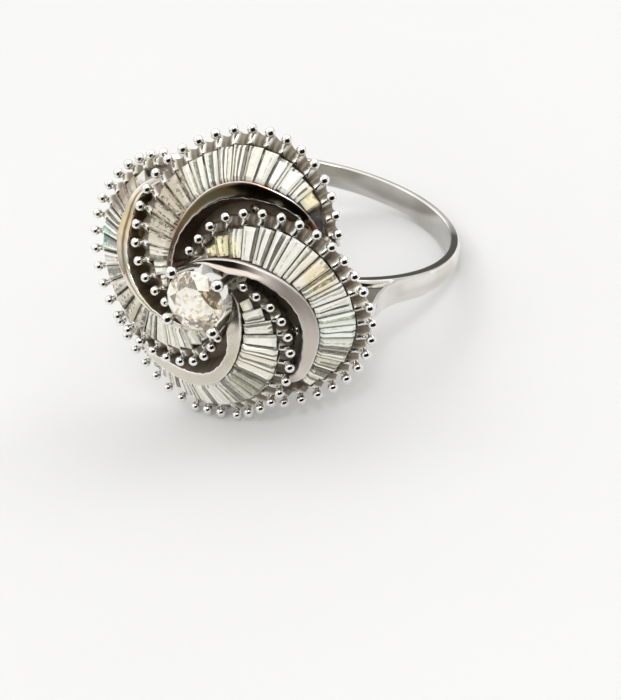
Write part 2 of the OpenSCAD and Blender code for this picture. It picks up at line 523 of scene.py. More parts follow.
@dataclass(frozen=True)
class PolishAndPaintedLight:
    """Pattern that all the metal shares: waves a metre, and where each effect sets in."""

    wave_scale: float = 1100.0
    hair_scale: float = 9000.0
    hair_bend: float = 1.5
    hair_range: tuple[float, float] = (0.5, 0.8)
    hair_rough: float = 0.05
    drift_range: tuple[float, float] = (0.45, 0.62)
    shade_rough: float = 0.4
    shade_end: float = 0.45

    def group(self) -> bpy.types.NodeTree:
        """Builds the group: a tint by the mark, slow drifts of it, hairlines, duller painted shade.

        The mark paints shade and light into the tint: shade towards 0, light towards 1.

        Returns:
            A group that puts out colour, roughness and the height of its bumps.
        """
        n = Group(
            "polish_and_painted_light",
            {"Painted shade": 0.4, "Tint": 0.8, "Bright": 0.9, "Drift": 0.7},
            {"Drift size": 400.0, "Drift share": 0.3, "Gloss": 0.05, "Hairlines": 0.05},
        )
        given, mark = n.given, n.attribute("mark")
        # Painted shade towards mark 0, painted light towards mark 1
        tint = n.mix(n.ramp(mark, PAINTED_SHADE, PLAIN), given["Painted shade"], given["Tint"])
        tint = n.mix(n.ramp(mark, PLAIN, PAINTED_LIGHT), tint, given["Bright"])
        drift = n.ramp(n.noise(given["Drift size"], detail=2.0), *self.drift_range)
        share = n.math("MULTIPLY", drift, given["Drift share"])
        hair = n.noise(self.hair_scale, detail=1.0, bend=self.hair_bend)
        lines = n.math("MULTIPLY", hair, given["Hairlines"])
        scuffs = n.math("MULTIPLY", n.ramp(hair, *self.hair_range), self.hair_rough)
        # Parts with painted shade are also rougher
        dull = n.ramp(mark, PAINTED_SHADE, self.shade_end, self.shade_rough, 0.0)
        return n.put_out({
            "Color": n.mix(share, tint, given["Drift"], "MULTIPLY"),
            "Roughness": n.math("ADD", n.math("ADD", given["Gloss"], scuffs), dull),
            "Height": n.math("ADD", lines, n.noise(self.wave_scale, detail=1.0)),
        })


@dataclass(frozen=True)
class CrystalLight:
    """Painted light that all stones share: how their seeds are spread, and its tones' ranges."""

    seed_step: float = 13.7
    stripe_start: float = 7.3
    facet_step: float = 0.12
    # Tone ranges over which the painted dark and the painted middle tint set in
    dark_tones: tuple[float, float] = (0.37, 0.29)
    middle_tones: tuple[float, float] = (0.48, 0.4)
    warm_stones: tuple[float, float] = (0.45, 1.0)

    def group(self) -> bpy.types.NodeTree:
        """Builds the group: stripes across a stone, a tone for each facet, small broken cells.

        The tone is the weighted mean of three chances: the stripe's, the facet's and the cell's. It
        paints light and dark on the stone, standing in for what its facets reflect.

        Returns:
            A group that puts out a colour.
        """
        n = Group(
            "crystal_light",
            {"Clear": 1.0, "Warm": 0.8, "Middle": 0.6, "Dark": 0.3},
            {"Warm share": 0.4, "Dark share": 0.6, "Stripes": 1.5, "Cells": 4000.0,
             "Stripe weight": 0.5, "Cell weight": 0.2},
        )
        given, mark = n.given, n.attribute("mark")
        start = n.math("MULTIPLY", mark, self.stripe_start)
        across = n.math("MULTIPLY_ADD", n.attribute("shift"), given["Stripes"], start)
        stripe = n.chance(n.math("MULTIPLY_ADD", mark, self.seed_step, n.math("FLOOR", across)))
        facing = {0: n.place("Normal"), 1: (self.facet_step,) * 3}
        facing = n.add("ShaderNodeVectorMath", facing, operation="SNAP").outputs[0]
        facet = n.chance(mark, facing)
        cells = n.add("ShaderNodeTexVoronoi", {"Vector": n.place(), "Scale": given["Cells"]})
        cell, second, _ = n.add("ShaderNodeSeparateColor", {0: cells.outputs["Color"]}).outputs
        rest = n.math("SUBTRACT", 1.0, given["Stripe weight"])
        tone = n.math("MULTIPLY", facet, n.math("SUBTRACT", rest, given["Cell weight"]))
        tone = n.math("MULTIPLY_ADD", cell, given["Cell weight"], tone)
        tone = n.math("MULTIPLY_ADD", stripe, given["Stripe weight"], tone)
        own = n.math("MULTIPLY", n.math("SUBTRACT", second, 0.5), given["Cell weight"])
        own = n.ramp(n.math("ADD", n.chance(mark), own), *self.warm_stones)
        light = n.mix(n.math("MULTIPLY", own, given["Warm share"]), given["Clear"], given["Warm"])
        light = n.mix(n.ramp(tone, *self.middle_tones), light, given["Middle"], "MULTIPLY")
        dark = n.math("MULTIPLY", n.ramp(tone, *self.dark_tones), given["Dark share"])
        return n.put_out({"Color": n.mix(dark, light, given["Dark"])})


def new_material(name: str) -> tuple[Material, Nodes, bpy.types.Node]:
    """Starts a material.

    Args:
        name: its name.

    Returns:
        The material, its nodes and its Principled shader.
    """
    made = bpy.data.materials.new(name)
    made.use_nodes = True
    return made, Nodes(made.node_tree), made.node_tree.nodes["Principled BSDF"]


@dataclass(frozen=True)
class MetalFinish:
    """Polished white metal: its plain tint, tints of painted shade and painted light, drifts."""

    name: str
    tint: Tint = (0.84, 0.83, 0.8)
    # Tints of painted shade, at mark 0, and of painted light, at mark 1
    shade: Tint = (0.3, 0.27, 0.23)
    painted_light_tint: Tint = (0.95, 0.94, 0.92)
    drift: Tint = (0.72, 0.68, 0.6)
    drift_size: float = 500.0
    drift_share: float = 0.5
    gloss: float = 0.05
    hairlines: float = 0.08
    bump: float = 0.05
    bump_depth: float = 0.0001

    def make(self, polish_and_light: bpy.types.NodeTree) -> Material:
        """Builds the material round the shared polish.

        Args:
            polish_and_light: the node group of polishing and painted light.

        Returns:
            The material.
        """
        mat, n, shader = new_material(self.name)
        given = {
            "Tint": (*self.tint, 1), "Painted shade": (*self.shade, 1), "Bright": (*self.painted_light_tint, 1),
            "Drift": (*self.drift, 1), "Drift size": self.drift_size,
            "Drift share": self.drift_share, "Gloss": self.gloss, "Hairlines": self.hairlines,
        }
        out = n.add("ShaderNodeGroup", given, node_tree=polish_and_light).outputs
        bumps = {"Height": out["Height"], "Strength": self.bump, "Distance": self.bump_depth}
        n.feed(shader, {
            "Base Color": out["Color"],
            "Roughness": out["Roughness"],
            "Normal": n.add("ShaderNodeBump", bumps).outputs["Normal"],
            "Metallic": 1.0,
        })
        return mat


@dataclass(frozen=True)
class Spot:
    """A place on the stones where the painted light differs."""

    # In millimetres in the ring's own frame
    middle: Place
    radius: float
    # What the colour is multiplied by, and how much of the tone comes from broken cells
    tint: Tint
    broken: float


@dataclass(frozen=True)
class StoneFinish:
    """Clear cut stone: the tints of its light, warm, middle and dark parts, and its pattern."""

    name: str
    # Clear, middle and dark tint the facets' painted light and shade; warm is a tint that each
    # stone takes at random
    clear: Tint = (1.0, 0.99, 0.92)
    warm: Tint = (0.96, 0.88, 0.68)
    middle: Tint = (0.47, 0.47, 0.4)
    dark: Tint = (0.09, 0.085, 0.07)
    warm_share: float = 0.6
    dark_share: float = 0.88
    stripes: float = 3.1
    cells: float = 6000.0
    stripe_weight: float = 0.72
    cell_weight: float = 0.06
    index: float = 2.0
    roughness: float = 0.03
    through: float = 0.12
    spots: tuple[Spot, ...] = ()

    def make(self, crystal: bpy.types.NodeTree) -> Material:
        """Builds the material round the shared crystal light.

        A spot is full at half its radius and fades out at its radius. There its tint multiplies the
        colour, and cells take over from stripes.

        Args:
            crystal: the crystal's node group.

        Returns:
            The material.
        """
        mat, n, shader = new_material(self.name)
        given = {
            "Clear": (*self.clear, 1), "Warm": (*self.warm, 1), "Middle": (*self.middle, 1),
            "Dark": (*self.dark, 1), "Warm share": self.warm_share, "Dark share": self.dark_share,
            "Stripes": self.stripes, "Cells": self.cells,
        }
        light = n.add("ShaderNodeGroup", given, node_tree=crystal)
        place, color, cells = n.place(), light.outputs["Color"], self.cell_weight
        for spot in self.spots:
            ends = {0: place, 1: tuple(RESTING.lay(np.array(spot.middle)))}
            away = n.add("ShaderNodeVectorMath", ends, operation="DISTANCE").outputs["Value"]
            near = n.ramp(away, spot.radius / MM_PER_M, spot.radius / 2 / MM_PER_M)
            color = n.mix(near, color, (*spot.tint, 1), "MULTIPLY")
            cells = n.math("MULTIPLY_ADD", near, spot.broken, cells)
        stripes = n.math("SUBTRACT", self.stripe_weight + self.cell_weight, cells)
        n.feed(light, {"Cell weight": cells, "Stripe weight": stripes})
        n.feed(shader, {
            "Base Color": color, "Transmission Weight": self.through,
            "Roughness": self.roughness, "IOR": self.index,
        })
        return mat


# The ring's parts


@dataclass(frozen=True)
class Petal:
    """Plan of one petal: sections on fan lines over the dome, for one that starts on the X axis.

    A section is a fan angle, and then the distance on the fan line and the lift over the dome of
    the balls, of the rail's outer edge and of its inner edge, in the order of Column.
    """

    dome_top: float = 14.2
    dome_r: float = 12.8
    fan: tuple[float, float] = (-2.5, -1.7)
    swirl_turn: float = -152.0
    count: int = 4
    sections: tuple[tuple[float, ...], ...] = (
        (20, 5.4, -0.05, 4.75, 0.1, 4.65, 0.2),
        (-5, 6.5, -0.1, 4.3, 0.05, 3.6, 0.5),
        (-30, 6.8, -0.05, 3.95, 0.0, 3.35, 0.35),
        (-55, 6.75, 0.1, 3.9, 0.05, 3.2, 0.2),
        (-80, 6.55, 0.1, 4.0, 0.1, 3.2, 0.05),
        (-105, 6.5, 0.1, 4.05, 0.1, 3.2, -0.1),
        (-130, 6.2, 0.0, 4.05, 0.0, 3.35, -0.2),
        (-155, 5.8, -0.15, 4.3, -0.05, 3.8, -0.15),
        (-180, 5.45, -0.1, 4.7, -0.8, 4.3, -0.9),
    )
    start: float = 20.0
    end: float = -190.0
    balls: int = 23
    first_ball: float = 19.0
    ball_pitch: float = 1.04
    # Shares of the pitch at the first steps of the row, where the balls stand closer
    closer: tuple[float, ...] = (0.8, 0.9)
    # Balls bent out of their row's smooth curve: petal, ball, distance outwards
    bent: tuple[tuple[int, int, float], ...] = (
        (2, 12, 0.06), (2, 13, -0.23), (2, 14, -0.23), (2, 15, 0.06),
    )
    # The floor under the stones: its lift at the start, its fall a degree and its thickness
    seat_lift: float = -1.1
    seat_fall: float = 0.001
    floor_t: float = 0.34
    # How far before the balls the stones end, and a share of the fan's width on top of that
    stone_back: float = 0.42
    stone_back_share: float = 0.1

    @property
    def dome_z(self) -> float:
        """Height of the dome's centre."""
        return self.dome_top - self.dome_r

    def along(self, angle: Array | float, column: Column) -> Array:
        """Smooth curve through one column of the sections.

        It is a Catmull-Rom cubic in the fan angle: between two rows, a cubic that has at each of
        them the slope from the row before it to the row after it.

        Args:
            angle: fan angles in degrees.
            column: the column.

        Returns:
            The column's value at each angle.
        """
        rows = np.array(self.sections, float)
        first, second = rows[:2, Column.ANGLE]
        at = (first - np.asarray(angle, float)) / (first - second)
        last = len(rows) - 1
        i = np.clip(np.floor(at), 0, last - 1).astype(int)
        u = at - i
        a, b, c, d = (rows[np.clip(i + k, 0, last), column] for k in (-1, 0, 1, 2))
        bend = a - 2.5 * b + 2 * c - d / 2
        return b + u * ((c - a) / 2 + u * (bend + u * ((d - a) / 2 + 1.5 * (b - c))))

    def over(self, angle: Array, distance: Array, lift: Array) -> Array:
        """Points over the dome: out on a fan line in plan, then lifted along the dome's normal.

        Args:
            angle: fan angles in degrees.
            distance: distances on the fan lines.
            lift: heights over the dome.

        Returns:
            Points, in the shape that the three share, 3 numbers last.
        """
        a = np.radians(angle)
        x, y = self.fan[0] + distance * np.cos(a), self.fan[1] + distance * np.sin(a)
        z = np.sqrt(self.dome_r**2 - x * x - y * y)
        grown = 1 + np.asarray(lift, float)[..., None] / self.dome_r
        return stacked(x, y, z) * grown + on_axis(self.dome_z)

    def turned(self, points: Array, petal: int) -> Array:
        """Points of the plan carried to one of the petals."""
        return spin(points, self.swirl_turn - petal * 360.0 / self.count)

    def seat(self, angle: Array) -> Array:
        """Lift of the floor under the stones."""
        return self.seat_lift - self.seat_fall * (self.start - angle)

    def stone_end(self, angle: Array) -> Array:
        """Outer end of the stones, set back from the ball row."""
        ball, rail = self.along(angle, Column.BALL), self.along(angle, Column.RAIL_OUT)
        return ball - self.stone_back - self.stone_back_share * (ball - rail)

    def ball_angles(self) -> Array:
        """Fan angles of the balls, one pitch apart along their row.

        A step's angle is its length over the hypotenuse of the row's distance and its slope.

        Returns:
            An angle in degrees for each ball.
        """
        angles = [self.first_ball]
        for share in self.closer + (1.0,) * (self.balls - 1 - len(self.closer)):
            last = angles[-1]
            rise = self.along(last - 1, Column.BALL) - self.along(last + 1, Column.BALL)
            reach = math.hypot(self.along(last, Column.BALL), math.degrees(rise) / 2)
            angles.append(last - math.degrees(self.ball_pitch * share / reach))
        return np.array(angles)


PETAL = Petal()


@dataclass(frozen=True)
class Shank:
    """The band round the finger with its two hollowed shoulders."""

    bore_r: float = 9.2
    width: float = 1.6
    thickness: float = 0.75
    crown_r: float = 1.3
    crown_points: int = 9
    inner_ease: float = 0.12
    outer_ease: float = 0.1
    crown_ease: float = 0.05
    steps: int = 256
    # Mark of the band's inside: painted shade, greyer than plain
    inside_mark: float = 0.32
    # Degrees round the finger hole where the band's upper side has a painted dark reflection, with
    # a
    # painted highlight beside it: from, to, fade
    painted_dark_side: tuple[float, float, float] = (-38.0, 75.0, 14.0)
    # A shoulder's outer face: height, distance from the axis
    outer: tuple[tuple[float, float], ...] = (
        (2.6, 9.45), (3.4, 9.25), (4.2, 8.9), (5.4, 8.45), (6.6, 8.25),
        (8.0, 8.3), (8.9, 8.5), (9.5, 8.6), (10.2, 7.9), (11.7, 5.2),
    )
    smoothings: int = 3
    heights: int = 60
    # Its inner face: nearest to the axis, and its gap to the finger hole; its least thickness, and
    # how far its sides stand back from the band's
    shoulder_in: float = 5.0
    off_bore: float = 0.02
    least_t: float = 0.1
    side_step: float = 0.03
    # The hollow in each side: depth, heights of its start and end with their fades, and its lips
    pocket: float = 0.45
    pocket_start: tuple[float, float] = (5.6, 0.5)
    pocket_end: tuple[float, float] = (10.0, 0.8)
    pocket_slope: float = 0.06
    outer_lip: float = 0.2
    inner_lip_share: float = 0.2
    inner_lip: tuple[float, float] = (0.05, 0.3)
    least_web: float = 0.02
    shoulder_ease: float = 0.07
    # Which corners of a half section, from the finger hole outwards, are lips (1) or hollow (-1)
    lips: tuple[int, ...] = (0, 1, -1, -1, 1, 0)
    # How far the marks move from plain: painted light on the lips, painted shade in the hollow
    lip_mark: float = 0.42

    def band(self) -> Array:
        """Closed profile of the band: flat inside, an arc across the width outside, eased corners.

        Returns:
            A grid of points round the finger, ARC + 1 for each corner, the last corner first.
        """
        half, top = self.width / 2, self.bore_r + self.thickness
        y = np.linspace(-half, half, self.crown_points)
        arc = stacked(top - self.crown_r + np.sqrt(self.crown_r**2 - y * y), y)
        corners = np.concatenate([[[self.bore_r, -half]], arc, [[self.bore_r, half]]])
        radii = np.full(len(corners), self.crown_ease)
        radii[[0, -1]], radii[[1, -2]] = self.inner_ease, self.outer_ease
        return revolve(rounded(corners, radii)[::-1], Axis.FINGER, self.steps)

    def band_marks(self, corners: int) -> Array:
        """Marks: painted shade inside the band, painted dark reflection on part of its upper side.

        A painted highlight runs beside the dark reflection.

        Args:
            corners: points of its profile, in the order that band() has them.

        Returns:
            Marks, steps by corners.
        """
        upper_side, painted_highlight_edge = slice(2, 6), slice(6, 9)
        degrees = np.linspace(0, 360, self.steps, endpoint=False)[:, None]
        degrees = (degrees + 180) % 360 - 180
        low, high, fade = self.painted_dark_side
        share = np.clip((degrees - low) / fade, 0, 1) * np.clip((high - degrees) / fade, 0, 1)
        marks = np.full((self.steps, corners), PLAIN)
        # Painted shade inside; on part of the upper side a painted dark reflection and a painted
        # highlight
        marks[:, [0, -1]] = self.inside_mark
        marks[:, upper_side] += (PAINTED_SHADE - PLAIN) * share
        marks[:, painted_highlight_edge] += (PAINTED_LIGHT - PLAIN) * share
        return marks

    def shoulder(self, side: int) -> tuple[Array, Array]:
        """One shoulder, a section at each height.

        At a height, the section is a rectangle from the finger hole to the outer face, pressed in
        on both sides to leave a web, and the hollow fades out at its two ends. The outer face is a
        line through its points, smoothed by weighted means of each height and its neighbours.

        Args:
            side: 1 for the side of +X, -1 for the other.

        Returns:
            A grid of points, heights by corners by 3, and its marks: painted light on the lips and
            painted shade in the hollow.
        """
        z = np.linspace(self.outer[0][0], self.outer[-1][0], self.heights)
        out = np.interp(z, *np.array(self.outer).T)
        for _ in range(self.smoothings):
            out[1:-1] = (out[:-2] + 2 * out[1:-1] + out[2:]) / 4
        inner = np.sqrt(np.maximum(self.bore_r**2 - z * z, 0.0)) + self.off_bore
        inner = np.minimum(np.maximum(inner, self.shoulder_in), out - self.least_t)
        half = self.width / 2 - self.side_step
        (start, rise), (end, fall) = self.pocket_start, self.pocket_end
        deep = self.pocket * np.clip((z - start) / rise, 0, 1) * np.clip((end - z) / fall, 0, 1)
        lip_out = out - self.outer_lip
        lip_in = inner + np.clip((out - inner) * self.inner_lip_share, *self.inner_lip)
        lip_in = np.minimum(lip_in, lip_out - self.least_web)
        corners = [
            (inner, half), (lip_in, half), (lip_in + self.pocket_slope, half - deep),
            (lip_out - self.pocket_slope, half - deep), (lip_out, half), (out, half),
        ]
        corners = [(x, -y) for x, y in corners] + corners[::-1]
        section = np.stack([stacked(*corner) for corner in corners], 1)
        x, y = np.moveaxis(rounded(section, self.shoulder_ease), -1, 0)
        # Painted light on the lips, painted shade in the hollow, both as strong as the hollow is
        # deep
        lips = np.repeat(self.lips + self.lips[::-1], ARC + 1)
        marks = PLAIN + self.lip_mark * lips * (deep / self.pocket)[:, None]
        return stacked(side * x, side * y, z[:, None]), marks

    def build(self, metal: Material) -> list[Piece]:
        """Makes the band and the two shoulders.

        Args:
            metal: their finish.

        Returns:
            Both pieces.
        """
        band, shoulders = Skin(), Skin()
        grid = self.band()
        band.tube(grid, mark=self.band_marks(grid.shape[1]), ring=True)
        for side in (1, -1):
            shoulders.tube(*self.shoulder(side))
        return [band.make("band", metal), shoulders.make("shoulders", metal)]


@dataclass(frozen=True)
class Undergallery:
    """The wire ring and posts under the head, and the dished plate that closes its valleys."""

    ring_r: float = 5.2
    ring_z: float = 9.6
    wire: float = 0.35
    posts: int = 12
    top: float = 11.8
    # A post's radius in shares of the wire's: at its middle, and how much it grows to its ends
    waist: tuple[float, float] = (0.62, 0.3)
    post_rings: int = 9
    plate_r: float = 6.4
    plate_lift: float = -1.26
    plate_t: float = 0.12
    hole_r: float = 2.3
    steps: int = 144
    sides: int = 20

    def posts_skin(self) -> Skin:
        """The wire ring and its posts, whose radius grows as the square of the way from the middle.

        Returns:
            Their mesh.
        """
        skin = Skin()
        a = np.linspace(0, 2 * math.pi, self.sides, endpoint=False)
        loop = stacked(self.ring_r + self.wire * np.cos(a), self.ring_z + self.wire * np.sin(a))
        skin.tube(revolve(loop, Axis.HEAD, self.steps), ring=True)
        z = np.linspace(self.ring_z, self.top, self.post_rings)
        way = 2 * (z - self.ring_z) / (self.top - self.ring_z) - 1
        radius = self.wire * (self.waist[0] + self.waist[1] * way**2)[:, None]
        for x, y, _ in circle(self.posts, self.ring_r, 0.0, 180 / self.posts):
            skin.tube(stacked(x + radius * np.cos(a), y + radius * np.sin(a), z[:, None]))
        return skin

    def plate_skin(self) -> Skin:
        """The plate: part of a ball's shell round the head's axis, painted shade on its upper face.

        Returns:
            Its mesh.
        """
        skin, points = Skin(), 24
        d = np.linspace(self.hole_r, self.plate_r, points)
        r = PETAL.dome_r + self.plate_lift
        over, under = (stacked(d, np.sqrt(k**2 - d * d)) for k in (r, r - self.plate_t))
        ring = np.concatenate([over, under[::-1]]) + np.array([0.0, PETAL.dome_z])
        # Painted shade on the upper face, plain underneath
        marks = np.repeat([PAINTED_SHADE, PLAIN], points)
        skin.tube(revolve(ring, Axis.HEAD, self.steps), mark=marks, ring=True)
        return skin

    def build(self, metal: Material) -> list[Piece]:
        """Makes the gallery and the plate."""
        gallery = self.posts_skin().make("gallery", metal)
        return [gallery, self.plate_skin().make("valley_plate", metal)]


@dataclass(frozen=True)
class PaintedDarkBand:
    """A rail's stretch of painted dark reflection: points of its section, fan angles, depth."""

    petal: int
    first: int
    last: int
    start: float
    end: float
    depth: float


@dataclass(frozen=True)
class Rail:
    """The polished ribbon inside a petal: a slightly hollow face between painted highlit edges."""

    steps: int = 220
    hollow: float = 0.04
    # Width from which the face has its full hollow
    hollow_from: float = 0.5
    base_drop: float = 0.1
    # Hand-filed waves of the inner edge: depth in millimetres and waves a full circle of the fan
    waves: tuple[tuple[float, float], ...] = ((0.013, 34.0), (0.012, 21.0))
    # Inner foot, inner edge, face, outer edge and outer foot: how far each is eased, and the marks
    # of its points, which paint shade on the feet and highlights on the edges
    ease: tuple[float, ...] = (0.02, 0.09, 0.2, 0.11, 0.02)
    marks: tuple[tuple[float, ...], ...] = (
        (0.0,) * 5, (0.2, 0.9, 1.0, 1.0, 0.6), (0.5,) * 5, (0.6, 1.0, 1.0, 1.0, 0.4), (0.2,) * 5,
    )
    painted_dark_bands: tuple[PaintedDarkBand, ...] = (
        PaintedDarkBand(petal=1, first=12, last=15, start=60.0, end=-12.0, depth=1.0),
        PaintedDarkBand(petal=3, first=11, last=12, start=-30.0, end=-150.0, depth=0.85),
    )
    fade: float = 30.0
    # Mark of the inner foot of a rail with a painted dark band: less painted shade than the others
    lit_foot: float = 0.15

    def grid(self) -> Array:
        """Sections of the rail on the petal's fan lines.

        The inner edge adds sine waves to its distance. The face's middle sinks by the hollow.

        Returns:
            A grid of points, steps by corners by 3.
        """
        angle = np.linspace(PETAL.start, PETAL.end, self.steps)
        edges = (Column.RAIL_OUT, Column.RAIL_OUT_LIFT, Column.RAIL_IN, Column.RAIL_IN_LIFT)
        out, out_lift, inn, in_lift = (PETAL.along(angle, column) for column in edges)
        inn = inn + sum(deep * np.sin(np.radians(angle) * n + n) for deep, n in self.waves)
        base = PETAL.seat(angle) - self.base_drop
        hollow = self.hollow * np.clip((out - inn) / self.hollow_from, 0, 1)
        face_lift = (out_lift + in_lift) / 2 - hollow
        rows = [
            (inn, base), (inn, in_lift), ((out + inn) / 2, face_lift), (out, out_lift), (out, base),
        ]
        eased = rounded(np.stack([stacked(*row) for row in rows], 1), np.array(self.ease), 4)
        return PETAL.over(angle[:, None], eased[..., 0], eased[..., 1])

    def all_marks(self, petal: int) -> Array:
        """Marks of a petal's rail, painted dark reflection along its bands, fading in and out.

        Args:
            petal: the petal.

        Returns:
            Marks, steps by corners.
        """
        marks = np.tile(np.concatenate(self.marks), (self.steps, 1))
        angle = np.linspace(PETAL.start, PETAL.end, self.steps)[:, None]
        for band in (b for b in self.painted_dark_bands if b.petal == petal):
            begun = np.clip((band.start - angle) / self.fade + 1, 0, 1)
            left = np.clip((angle - band.end) / self.fade + 1, 0, 1)
            # Painted dark reflection on these points, fading in and out
            marks[:, band.first : band.last + 1] *= 1 - band.depth * begun * left
            marks[:, : len(self.marks[0])] = self.lit_foot
        return marks

    def build(self, petal: int, metal: Material) -> Piece:
        """Makes the rail of one petal.

        Args:
            petal: the petal.
            metal: the finish.

        Returns:
            The rail.
        """
        skin = Skin()
        skin.tube(PETAL.turned(self.grid(), petal), mark=self.all_marks(petal))
        return skin.make(f"rail_{petal + 1}", metal)


@dataclass(frozen=True)
class Basket:
    """A petal's floor and the scalloped wall under its ball row."""

    steps: int = 330
    inset: float = 0.05
    rail_lap: float = 0.03
    seat_gap: float = 0.06
    bearer_drop: float = 0.22
    bearer_w: float = 0.25
    skirt_drop: float = 0.36
    rim_w: float = 0.14
    # Depth of the dips of the wall's edge, and the share of it by which the skirt moves in there
    scallop: float = 0.3
    lean: float = 0.3
    ease: tuple[float, ...] = (0.03, 0.02, 0.02, 0.05, 0.06, 0.1, 0.1, 0.05)
    # The rim's painted shade between two balls: how deep, and how fast it sets in
    rim_shade: tuple[float, float] = (0.95, 1.8)

    def grid(self) -> tuple[Array, Array]:
        """Sections of floor and wall; between two balls the wall's edge dips by half a cosine wave.

        Returns:
            Points, steps by corners by 3, and marks: painted light on the floor, painted shade
            in the dips, plain underside.
        """
        angle = np.linspace(PETAL.start, PETAL.end, self.steps)
        balls = PETAL.ball_angles()
        phase = np.interp(-angle, -balls, np.arange(len(balls)))
        wave = 0.5 - 0.5 * np.cos(2 * math.pi * phase)
        dip = self.scallop * wave
        ball, lift = PETAL.along(angle, Column.BALL), PETAL.along(angle, Column.BALL_LIFT)
        out, inn = PETAL.along(angle, Column.RAIL_OUT), PETAL.along(angle, Column.RAIL_IN)
        end, seat = PETAL.stone_end(angle) + self.seat_gap, PETAL.seat(angle)
        bearer, foot = lift - self.bearer_drop - dip, seat - PETAL.floor_t
        skirt = ball + self.rim_w - dip * self.lean
        deep, fast = self.rim_shade
        # Painted shade in the dips between the balls, painted light at the balls
        rim = PAINTED_LIGHT - deep * np.minimum(1.0, fast * wave)
        rows = [
            (inn + self.inset, foot, PLAIN),
            (inn + self.inset, seat - self.rail_lap, PLAIN),
            (out - self.rail_lap, seat, PAINTED_LIGHT),
            (end, seat, PAINTED_LIGHT),
            (end, bearer, rim),
            (end + self.bearer_w, bearer, rim),
            (skirt, lift - self.skirt_drop - dip, rim),
            (skirt, foot, PLAIN),
        ]
        sections = np.stack([stacked(*row) for row in rows], 1)
        eased = rounded(sections[..., :2], np.array(self.ease), 2)
        marks = np.repeat(sections[..., 2], 3, 1)
        return PETAL.over(angle[:, None], eased[..., 0], eased[..., 1]), marks

    def build(self, petal: int, metal: Material) -> Piece:
        """Makes the basket of one petal.

        Args:
            petal: the petal.
            metal: the finish.

        Returns:
            The basket.
        """
        grid, marks = self.grid()
        skin = Skin()
        skin.tube(PETAL.turned(grid, petal), mark=marks)
        return skin.make(f"basket_{petal + 1}", metal)


@dataclass(frozen=True)
class BallProngs:
    """The row of balls on short flared stems along a petal's outer edge."""

    ball_d: float = 0.62
    stem_r: float = 0.19
    foot_r: float = 0.27
    stem_h: float = 1.05
    # Share of a stem's height under its ball's middle at which it starts
    neck: float = 0.1
    rings: int = 9
    sides: int = 14

    def build(self, petal: int, metal: Material) -> Piece:
        """Makes one petal's row. A stem's radius grows to its foot as the square of the depth.

        Args:
            petal: the petal.
            metal: the finish.

        Returns:
            The row, its stems with painted light at the neck and painted shade at the foot.
        """
        angle = PETAL.ball_angles()
        distance = PETAL.along(angle, Column.BALL)
        for _, ball, out in (bend for bend in PETAL.bent if bend[0] == petal):
            distance[ball] += out
        at = PETAL.over(angle, distance, PETAL.along(angle, Column.BALL_LIFT))
        at = PETAL.turned(at, petal)
        up = unit(at - on_axis(PETAL.dome_z))
        skin = Skin()
        skin.beads(at, up, self.ball_d / 2)
        depth = np.linspace(1.0, self.neck, self.rings)
        radii = self.stem_r + (self.foot_r - self.stem_r) * depth**2
        # Painted light at the neck, fading to painted shade at the foot
        marks = (PAINTED_LIGHT + self.neck - depth)[:, None]
        for place, axis in zip(at, up):
            centres = place - axis * (depth * self.stem_h)[:, None]
            skin.tube(wire(centres, axis, radii, self.sides), mark=marks)
        return skin.make(f"ball_prongs_{petal + 1}", metal)


@dataclass(frozen=True)
class CentreSetting:
    """The cup and four ball-topped prongs that hold the round stone."""

    rise: float = 0.8
    prongs: int = 4
    prong_r: float = 2.02
    prong_turn: float = 48.0
    ball_d: float = 0.72
    ball_rise: float = 0.3
    foot: float = 1.65
    depth: float = 2.8
    neck_r: float = 0.2
    neck_start: float = 0.03
    # A prong's radius grows by a collar under the ball, over a share of its length, and by a flare
    collar: tuple[float, float] = (0.1, 0.09)
    flare: float = 0.08
    cup_r: float = 2.5
    cup_hole_r: float = 0.9
    cup_h: float = 0.5
    cup_drop: float = 1.95
    cup_ease: float = 0.08
    cup_steps: int = 96
    rings: int = 15
    sides: int = 20
    ball_sides: int = 28

    @property
    def girdle_z(self) -> float:
        """Height of the stone's girdle."""
        return PETAL.dome_top + self.rise

    def prong_skin(self) -> Skin:
        """The prongs, straight wires from foot to ball.

        Their radius is the neck's, plus a bell curve by the ball, plus a flare in proportion.

        Returns:
            Their mesh.
        """
        z = self.girdle_z + self.ball_rise
        top = circle(self.prongs, self.prong_r, z, self.prong_turn)
        low = circle(self.prongs, self.foot, z - self.depth, self.prong_turn)
        axes = unit(top - low)
        skin = Skin()
        skin.beads(top, axes, self.ball_d / 2, self.ball_sides, self.rings)
        t = np.linspace(1.0, self.neck_start, self.rings)
        wide, long = self.collar
        radii = self.neck_r + wide * np.exp(-((t / long) ** 2)) + self.flare * t
        for head, foot, axis in zip(top, low, axes):
            skin.tube(wire(head + (foot - head) * t[:, None], axis, radii, self.sides))
        return skin

    def cup_skin(self) -> Skin:
        """The cup under the stone, painted light at its top, carried round the head's axis.

        Returns:
            Its mesh.
        """
        low = PETAL.dome_top - self.cup_drop
        top, inner, outer = low + self.cup_h, self.cup_hole_r, self.cup_r
        corners = np.array([[inner, low], [inner, top], [outer, top], [outer, low]])
        # Painted light on the cup's top
        marks = np.repeat([PLAIN, PAINTED_LIGHT, PAINTED_LIGHT, PLAIN], ARC + 1)
        grid = revolve(rounded(corners, self.cup_ease), Axis.HEAD, self.cup_steps)
        skin = Skin()
        skin.tube(grid, mark=marks, ring=True)
        return skin

    def build(self, metal: Material) -> list[Piece]:
        """Makes the prongs and the cup."""
        prongs = self.prong_skin().make("centre_prongs", metal)
        return [prongs, self.cup_skin().make("centre_cup", metal)]


